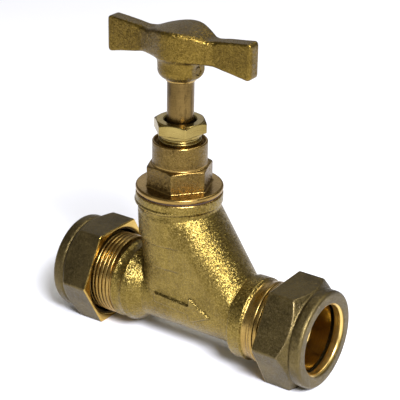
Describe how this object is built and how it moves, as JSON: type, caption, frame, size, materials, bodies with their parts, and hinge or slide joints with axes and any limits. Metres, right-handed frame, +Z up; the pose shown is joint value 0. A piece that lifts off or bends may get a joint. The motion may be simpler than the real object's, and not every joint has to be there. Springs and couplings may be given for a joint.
{
  "type": "compression stop valve",
  "caption": "Straight screw-down stop valve in brass with a crutch handle, gland-sealed rising spindle and loose compression nuts for 22 mm pipe.",
  "frame": {"origin": "centre of the mouth of the inlet pipe socket, on the pipe centreline", "axes": "+X along the flow to the outlet, +Z up the spindle"},
  "size_m": [0.0963, 0.0366, 0.1069],
  "materials": {
    "body_brass": "shot-blasted brass casting, machined on the threads, grooves and faces",
    "bonnet_brass": "blasted brass forging with turned faces",
    "nut_brass": "dull blasted brass, machined mouth and bore",
    "handle_brass": "dull blasted brass",
    "spindle_brass": "satin turned brass",
    "gland_brass": "bright turned brass",
    "olive_brass": "bright turned brass",
    "pin_steel": "plain steel",
    "fibre": "red-brown vulcanised fibre",
    "packing": "white compressed packing",
    "rubber": "black moulded rubber"
  },
  "bodies": {
    "valve_body": {"body": "body_brass", "body_washer": "fibre", "bonnet": "bonnet_brass", "packing_ring_lower": "packing", "packing_ring_middle": "packing", "packing_ring_upper": "packing"},
    "jumper_set": {"jumper": "spindle_brass", "jumper_washer": "rubber", "jumper_nut": "gland_brass"},
    "spindle_set": {"spindle": "spindle_brass", "handle": "handle_brass", "handle_pin": "pin_steel"},
    "gland_lift": {"gland_follower": "gland_brass"},
    "gland_screw": {"gland_nut": "gland_brass"},
    "inlet_slide": {"inlet_olive": "olive_brass"},
    "inlet_screw": {"inlet_nut": "nut_brass"},
    "outlet_slide": {"outlet_olive": "olive_brass"},
    "outlet_screw": {"outlet_nut": "nut_brass"}
  },
  "joints": [
    {"name": "jumper_lift", "type": "slide", "parent": "valve_body", "child": "jumper_set", "axis": [0, 0, 1], "range_m": [-0.008, 0]},
    {"name": "spindle_turn", "type": "hinge", "parent": "jumper_set", "child": "spindle_set", "pos_m": [0.03, 0, 0.06], "axis": [0, 0, 1], "range_deg": [-1152, 0]},
    {"name": "gland_travel", "type": "slide", "parent": "valve_body", "child": "gland_lift", "axis": [0, 0, 1], "range_m": [0, 0.003]},
    {"name": "gland_nut_turn", "type": "hinge", "parent": "gland_lift", "child": "gland_screw", "pos_m": [0.03, 0, 0.058], "axis": [0, 0, 1], "range_deg": [0, 1080]},
    {"name": "inlet_nut_travel", "type": "slide", "parent": "valve_body", "child": "inlet_slide", "axis": [-1, 0, 0], "range_m": [0, 0.0045]},
    {"name": "inlet_nut_turn", "type": "hinge", "parent": "inlet_slide", "child": "inlet_screw", "pos_m": [0, 0, 0], "axis": [-1, 0, 0], "range_deg": [0, 1080]},
    {"name": "outlet_nut_travel", "type": "slide", "parent": "valve_body", "child": "outlet_slide", "axis": [1, 0, 0], "range_m": [0, 0.0045]},
    {"name": "outlet_nut_turn", "type": "hinge", "parent": "outlet_slide", "child": "outlet_screw", "pos_m": [0.0745, 0, 0], "axis": [1, 0, 0], "range_deg": [0, 1080]}
  ],
  "couplings": [
    {"joint": "jumper_lift", "follows": "spindle_turn", "m_per_rad": 0.00039788},
    {"joint": "gland_travel", "follows": "gland_nut_turn", "m_per_rad": 0.00015915},
    {"joint": "inlet_nut_travel", "follows": "inlet_nut_turn", "m_per_rad": 0.00023873},
    {"joint": "outlet_nut_travel", "follows": "outlet_nut_turn", "m_per_rad": 0.00023873}
  ]
}
